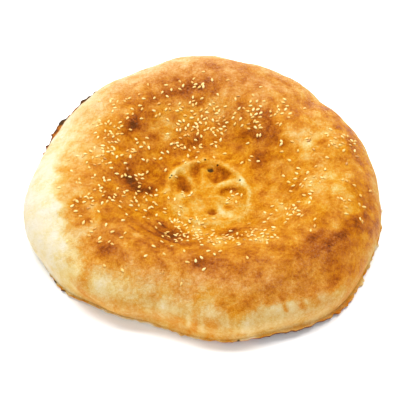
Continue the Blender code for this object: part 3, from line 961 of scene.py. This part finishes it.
class Tree:
    """Makes a material's nodes. A number or a socket can be given wherever a value is wanted."""

    def __init__(self, name):
        self.material = bpy.data.materials.new(name)
        self.material.use_nodes = True
        self.nodes, self.links = self.material.node_tree.nodes, self.material.node_tree.links
        self.shader = self.nodes["Principled BSDF"]
        self.place = self.nodes.new("ShaderNodeTexCoord").outputs["Object"]

    def put(self, socket, value):
        if isinstance(value, bpy.types.NodeSocket):
            self.links.new(value, socket)
        else:
            socket.default_value = value

    def math(self, operation, first, second=0.0, clamp=False):
        node = self.nodes.new("ShaderNodeMath")
        node.operation = operation
        node.use_clamp = clamp
        self.put(node.inputs[0], first)
        self.put(node.inputs[1], second)
        return node.outputs[0]

    def noise(self, wavelength, detail=2.0, roughness=0.55):
        """Noise about 0, mostly between -0.5 and 0.5, with lumps of that size in millimetres."""
        node = self.nodes.new("ShaderNodeTexNoise")
        self.put(node.inputs["Vector"], self.place)
        node.inputs["Scale"].default_value = 1.0 / (wavelength * MM)
        node.inputs["Detail"].default_value = detail
        node.inputs["Roughness"].default_value = roughness
        return self.math("SUBTRACT", node.outputs["Fac"], 0.5)

    def total(self, *parts):
        """The sum of values, each given with its share."""
        products = [self.math("MULTIPLY", value, share) for value, share in parts]
        found = products[0]
        for product in products[1:]:
            found = self.math("ADD", found, product)
        return found

    def attribute(self, name):
        node = self.nodes.new("ShaderNodeAttribute")
        node.attribute_name = name
        return node.outputs["Fac"]

    def scaled(self, value, low, high, to_low, to_high):
        node = self.nodes.new("ShaderNodeMapRange")
        for socket, given in zip(node.inputs[:5], (value, low, high, to_low, to_high)):
            self.put(socket, given)
        return node.outputs[0]

    def ramp(self, value, stops):
        node = self.nodes.new("ShaderNodeValToRGB")
        self.put(node.inputs[0], value)
        elements = node.color_ramp.elements
        while len(elements) < len(stops):
            elements.new(1.0)
        for element, (position, colour) in zip(elements, stops):
            element.position = position
            element.color = linear(colour)
        return node.outputs["Color"]

    def mix(self, share, first, second, blend="MIX"):
        node = self.nodes.new("ShaderNodeMix")
        node.data_type = "RGBA"
        node.blend_type = blend
        self.put(node.inputs["Factor"], share)
        self.put(node.inputs["A"], first)
        self.put(node.inputs["B"], second)
        return node.outputs["Result"]

    def raised(self, height, distance):
        """A normal from a height that is given in that many millimetres."""
        node = self.nodes.new("ShaderNodeBump")
        node.inputs["Distance"].default_value = distance * MM
        self.put(node.inputs["Height"], height)
        return node.outputs["Normal"]

    def shade(self, inputs):
        """Puts values, by the names of the shader's inputs."""
        for name, value in inputs.items():
            self.put(self.shader.inputs[name], value)


def linear(colour):
    """The shader's colour for a colour given as 0 to 255, as a screen shows it."""
    shares = [channel / 255.0 for channel in colour]
    return [s / 12.92 if s <= 0.04045 else ((s + 0.055) / 1.055) ** 2.4 for s in shares] + [1.0]


GOLDEN_TONES = (  # share baked, colour
    (0.00, (203, 197, 181)),
    (0.08, (201, 190, 156)),
    (0.17, (196, 176, 114)),
    (0.30, (189, 151, 72)),
    (0.45, (187, 127, 25)),
    (0.60, (171, 103, 7)),
    (0.75, (146, 75, 3)),
    (0.90, (114, 51, 2)),
    (1.00, (78, 34, 3)),
)
ROSY_TONES = (
    (0.00, (204, 199, 182)),
    (0.08, (202, 192, 163)),
    (0.17, (198, 178, 138)),
    (0.30, (190, 152, 98)),
    (0.45, (182, 127, 63)),
    (0.60, (168, 104, 39)),
    (0.75, (145, 78, 24)),
    (0.90, (119, 53, 16)),
    (1.00, (81, 36, 14)),
)
FLOUR_COLOUR = (238, 208, 170)
# for the char, and for the painted shade of the lip's crack and the pin holes
CHAR_AND_SHADE_COLOUR = (38, 27, 20)

# A noise is given as Tree.noise takes it, and a range as Tree.scaled does: low, high, and what
# comes out there. A share is what a noise is multiplied by.
MOTTLE_NOISES = ((9.0, 3.0), (2.6, 3.0, 0.6), (0.8, 2.0))  # coarse, middle and fine
MOTTLE_SHARES = (0.36, 0.56, 0.4)
MOTTLE_RANGE = (0.05, 0.4, 0.25, 1.0)  # by how baked it is
ROSY_NOISE, ROSY_SHARE = (14.0,), 1.2
SPECK_NOISE, SPECK_RANGE = (1.7, 1.0), (0.0, 0.3, 0.0, 1.0)
FLOUR_RANGE = (0.1, 1.0, 0.0, 0.13)  # by how rosy it is
CHAR_SHARE, CHAR_RANGE = 0.9, (0.35, 0.7, 0.0, 0.92)
ROUGHNESS_RANGE, ROUGHNESS_SHARE = (0.15, 0.75, 0.72, 0.4), 0.25
GRAIN_NOISE, GRAIN_HEIGHT = (0.4, 1.0), 0.45
GRAIN_SHARES = (0.5, 1.0, -3.0, 2.2)  # of the fine noise, this one, the pin marks, the middle noise


def pin_marks(tree, shift):
    """1 in the small holes round the stamp's print, and 0 elsewhere."""
    flat = tree.nodes.new("ShaderNodeVectorMath")
    flat.operation = "MULTIPLY"
    tree.put(flat.inputs[0], tree.place)
    flat.inputs[1].default_value = (1.0, 1.0, PIN_SQUASH)
    nearest = 1.0
    for x, y in PIN_HOLES:
        gap = tree.nodes.new("ShaderNodeVectorMath")
        gap.operation = "DISTANCE"
        tree.put(gap.inputs[0], flat.outputs[0])
        gap.inputs[1].default_value = (Vector((x, y, DISH_HEIGHT * PIN_SQUASH)) + shift) * MM
        nearest = tree.math("MINIMUM", nearest, gap.outputs["Value"])
    start, end = (PIN_RADIUS * share * MM for share in PIN_EDGE)
    return tree.scaled(nearest, start, end, 1.0, 0.0)


def crust_material(shift):
    tree = Tree("baked crust")
    bake = tree.attribute("bake")
    coarse, middle, fine = (tree.noise(*given) for given in MOTTLE_NOISES)
    mottle = tree.total(*zip((coarse, middle, fine), MOTTLE_SHARES))
    tone = tree.total((bake, 1.0), (mottle, tree.scaled(bake, *MOTTLE_RANGE)))
    uneven = tree.math("MULTIPLY", tree.noise(*ROSY_NOISE), ROSY_SHARE)
    rosy = tree.math("ADD", tree.attribute("rosy"), uneven, clamp=True)
    colour = tree.mix(rosy, tree.ramp(tone, GOLDEN_TONES), tree.ramp(tone, ROSY_TONES))
    specks = tree.scaled(tree.noise(*SPECK_NOISE), *SPECK_RANGE)
    flour = tree.math("MULTIPLY", specks, tree.scaled(rosy, *FLOUR_RANGE))
    colour = tree.mix(flour, colour, linear(FLOUR_COLOUR))
    # painted fill light: the colour of the front side is made warmer and lighter
    colour = tree.mix(tree.attribute("painted_fill_light"), colour, (*PAINTED_FILL_TINT, 1.0), "MULTIPLY")
    char_and_crack_shade = tree.total((tree.attribute("char_and_crack_shade"), 1.0), (middle, CHAR_SHARE))
    pins = pin_marks(tree, shift)
    # darkened by the char, and by painted shade in the pin holes
    dark = tree.math("MAXIMUM", tree.scaled(char_and_crack_shade, *CHAR_RANGE), pins)
    uneven = tree.math("MULTIPLY", middle, ROUGHNESS_SHARE)
    rough = tree.math("ADD", tree.scaled(tone, *ROUGHNESS_RANGE), uneven, clamp=True)
    grain = tree.total(*zip((fine, tree.noise(*GRAIN_NOISE), pins, middle), GRAIN_SHARES))
    tree.shade(
        {
            "Base Color": tree.mix(dark, colour, linear(CHAR_AND_SHADE_COLOUR)),
            "Roughness": rough,
            "Normal": tree.raised(grain, GRAIN_HEIGHT),
            "Specular IOR Level": 0.2,
            "Specular Tint": linear((255, 180, 40)),
            "Subsurface Weight": 0.08,
            "Subsurface Radius": (1.0, 0.5, 0.2),
            "Subsurface Scale": 3.0 * MM,
        }
    )
    return tree.material


SEED_TONES = (
    (0.0, (218, 195, 130)),
    (0.4, (208, 169, 88)),
    (0.75, (193, 138, 52)),
    (1.0, (150, 94, 32)),
)
SEED_TONE_NOISE, SEED_TONE_SHARE = (1.2,), 0.35
SEED_ROUGHNESS_NOISE, SEED_ROUGHNESS_RANGE = (0.5,), (-0.4, 0.4, 0.32, 0.55)
SEED_GRAIN_NOISE, SEED_GRAIN_HEIGHT = (0.35,), 0.08


def seed_material():
    tree = Tree("sesame")
    uneven = tree.noise(*SEED_TONE_NOISE)
    tone = tree.total((tree.attribute("toast"), 1.0), (uneven, SEED_TONE_SHARE))
    tree.shade(
        {
            "Base Color": tree.ramp(tone, SEED_TONES),
            "Roughness": tree.scaled(tree.noise(*SEED_ROUGHNESS_NOISE), *SEED_ROUGHNESS_RANGE),
            "Normal": tree.raised(tree.noise(*SEED_GRAIN_NOISE), SEED_GRAIN_HEIGHT),
        }
    )
    return tree.material


def new_thing(name, data):
    """A new object in the scene."""
    thing = bpy.data.objects.new(name, data)
    bpy.context.scene.collection.objects.link(thing)
    return thing


def add_values(mesh, name, values):
    attribute = mesh.attributes.new(name, "FLOAT", "POINT")
    attribute.data.foreach_set("value", values.astype(np.float32))


def make_crust():
    """The crust, and how far it moves to lie over the CAD model's origin."""
    bearing, station, faces = crust_grid()
    points = plain_body(bearing, station)
    points = moved(points, faces, relief(points, station))
    middle = (points.min(axis=0) + points.max(axis=0)) / 2.0
    shift = Vector((-middle[0], -middle[1], 0.0))

    plan_bearing, radius = polar(points)
    rise, blister_share = blisters(points, station)
    fine = lumps(points, FINE_WAVE_SETS, FINE_WAVE_DRAW) + rise
    fine = fine + crease_relief(plan_bearing, radius, FINE_WRINKLES)
    burnt = oval(points[:, 0], points[:, 1], *BURNT_AT, *BURNT_SIZE)
    fine = fine - BURNT_DEPTH * burnt * (station < CREST)
    points = moved(points, faces, fine * ease(FOOT - station))
    at_lip = ease((LIP_END - station) / LIP_END_FADE)
    out = rags(bearing) * risen(station, FOOT, LIP_FADE) * at_lip
    out = out - by_bearing(bearing, DRAWN_IN) * risen(station, DRAWN_FROM, DRAWN_FADE) * at_lip
    points[:, 0] += out * np.cos(np.radians(bearing))
    points[:, 1] += out * np.sin(np.radians(bearing))
    points[:, 2] += by_bearing(bearing, LIP_RAISED) * ease(station - WIDEST) * at_lip
    points[:, 2] -= by_bearing(bearing, LIP_HANGING) * ease(station - LIP_UPPER) * at_lip

    mesh = mesh_of("bread_crust", points * MM, faces)
    mesh.transform(Matrix.Translation(shift * MM))
    mesh.shade_smooth()
    for name, values in crust_looks(points, bearing, station, blister_share).items():
        add_values(mesh, name, values)
    mesh.materials.append(crust_material(shift))
    return new_thing("bread_crust", mesh), shift


def seed_places():
    """(x, y, heading, size) of each seed, drawn round the clusters, clear of those before it."""
    draw = random.Random(SEED_DRAW)
    places = []
    for middle_x, middle_y, spread_x, spread_y, count in SEED_CLUSTERS:
        for _ in range(count):
            for _ in range(SEED_TRIES):
                x, y = draw.gauss(middle_x, spread_x), draw.gauss(middle_y, spread_y)
                if all(math.hypot(x - place[0], y - place[1]) > SEED_GAP for place in places):
                    heading = draw.uniform(0.0, 360.0)
                    size = 1.0 + draw.uniform(-SEED_UNEVENNESS, SEED_UNEVENNESS)
                    places.append((x, y, heading, size))
                    break
    return places


def seed_shape():
    """(points, faces) of one seed, a drop with its point at +X, as long as 2."""
    points, faces = [(-1.0, 0.0, 0.0)], []
    for band in range(1, SEED_BANDS):
        angle = math.pi * band / SEED_BANDS
        along = -math.cos(angle)
        girth = math.sin(angle) * (1.0 - SEED_TAPER[0] * along - SEED_TAPER[1] * along * along)
        for side in range(SEED_SIDES):
            turn = 2.0 * math.pi * side / SEED_SIDES
            points.append((along, girth * math.cos(turn), girth * math.sin(turn)))
    points.append((SEED_TIP, 0.0, 0.0))
    last = len(points) - 1
    for side in range(SEED_SIDES):
        after = (side + 1) % SEED_SIDES
        faces.append((0, 1 + after, 1 + side))
        for band in range(SEED_BANDS - 2):
            low, high = 1 + band * SEED_SIDES, 1 + (band + 1) * SEED_SIDES
            faces.append((low + side, low + after, high + after, high + side))
        end = 1 + (SEED_BANDS - 2) * SEED_SIDES
        faces.append((last, end + side, end + after))
    return np.array(points), faces


def make_seeds(crust, shift):
    """All the seeds, as one piece: each lies on the crust, a little sunk and a little tilted."""
    surface = BVHTree.FromPolygons(
        [vertex.co for vertex in crust.data.vertices],
        [polygon.vertices for polygon in crust.data.polygons],
    )
    draw = random.Random(TOAST_DRAW)
    shape, shape_faces = seed_shape()
    points, faces, toast = [], [], []
    for x, y, heading, size in seed_places():
        start = (Vector((x, y, DROP_HEIGHT)) + shift) * MM
        place, normal, _, _ = surface.ray_cast(start, Vector((0.0, 0.0, -1.0)))
        lean = Vector((draw.gauss(0.0, SEED_LEAN), draw.gauss(0.0, SEED_LEAN), 0.0))
        turn = (normal + lean).to_track_quat("Z", "Y").to_matrix()
        spin = Matrix.Rotation(math.radians(heading), 3, "Z")
        halves = (SEED_LENGTH / 2.0, SEED_WIDTH / 2.0, SEED_HEIGHT / 2.0)
        scale = Matrix.Diagonal([size * half * MM for half in halves])
        middle = place + normal * (SEED_RISE * SEED_HEIGHT * size * MM)
        placed = shape @ np.array(turn @ spin @ scale).T + np.array(middle)
        first = len(points)
        points.extend(placed.tolist())
        faces.extend(tuple(first + corner for corner in face) for face in shape_faces)
        toast.extend([draw.betavariate(*TOAST_SHAPE)] * len(shape))
    mesh = mesh_of("sesame_seeds", points, faces)
    mesh.shade_smooth()
    add_values(mesh, "toast", np.array(toast))
    mesh.materials.append(seed_material())
    return new_thing("sesame_seeds", mesh)


def make_floor():
    bpy.ops.mesh.primitive_plane_add(size=FLOOR_SIZE, location=(0.0, 0.0, -FLOOR_DROP))
    floor = bpy.context.object
    floor.name = "floor"
    tree = Tree("floor")
    tone = (FLOOR_TONE, FLOOR_TONE, FLOOR_TONE, 1.0)
    tree.shade({"Base Color": tone, "Roughness": 0.9, "Specular IOR Level": 0.1})
    floor.data.materials.append(tree.material)


def add_light(name, bearing, elevation, distance, width, height, power):
    """A flat lamp that looks at the bread from that bearing and elevation."""
    lamp = bpy.data.lights.new(name, "AREA")
    lamp.shape = "RECTANGLE"
    lamp.size, lamp.size_y = width, height
    lamp.energy = power
    thing = new_thing(name, lamp)
    angle, rise = math.radians(bearing), math.radians(elevation)
    level = math.cos(rise)
    away = Vector((math.cos(angle) * level, math.sin(angle) * level, math.sin(rise)))
    thing.location = away * distance
    thing.rotation_euler = away.to_track_quat("Z", "Y").to_euler()


def make_lights():
    world = bpy.data.worlds.new("studio")
    world.use_nodes = True
    background = world.node_tree.nodes["Background"]
    background.inputs["Color"].default_value = (1.0, 1.0, 1.0, 1.0)
    background.inputs["Strength"].default_value = WORLD_LIGHT
    bpy.context.scene.world = world
    for lamp in LAMPS:
        add_light(*lamp)
    bpy.context.scene.view_settings.view_transform = "Standard"


def make_camera(shift):
    camera = bpy.data.cameras.new("camera")
    camera.sensor_width = SENSOR_WIDTH
    camera.lens = SENSOR_WIDTH * CAMERA_DISTANCE / FRAME_WIDTH
    camera.clip_start = CLIP_START
    thing = new_thing("camera", camera)
    rise = math.radians(CAMERA_ELEVATION)
    away = Vector((0.0, -math.cos(rise), math.sin(rise)))
    aim = (Vector(AIM) + shift) * MM
    thing.location = aim + away * CAMERA_DISTANCE * MM
    thing.rotation_euler = away.to_track_quat("Z", "Y").to_euler()
    bpy.context.scene.camera = thing


crust, shift = make_crust()
seeds = make_seeds(crust, shift)
for piece, slot in ((crust, "crust"), (seeds, "sesame")):
    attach(piece, "root")
    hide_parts("flatbread")
make_floor()
make_lights()
make_camera(shift)
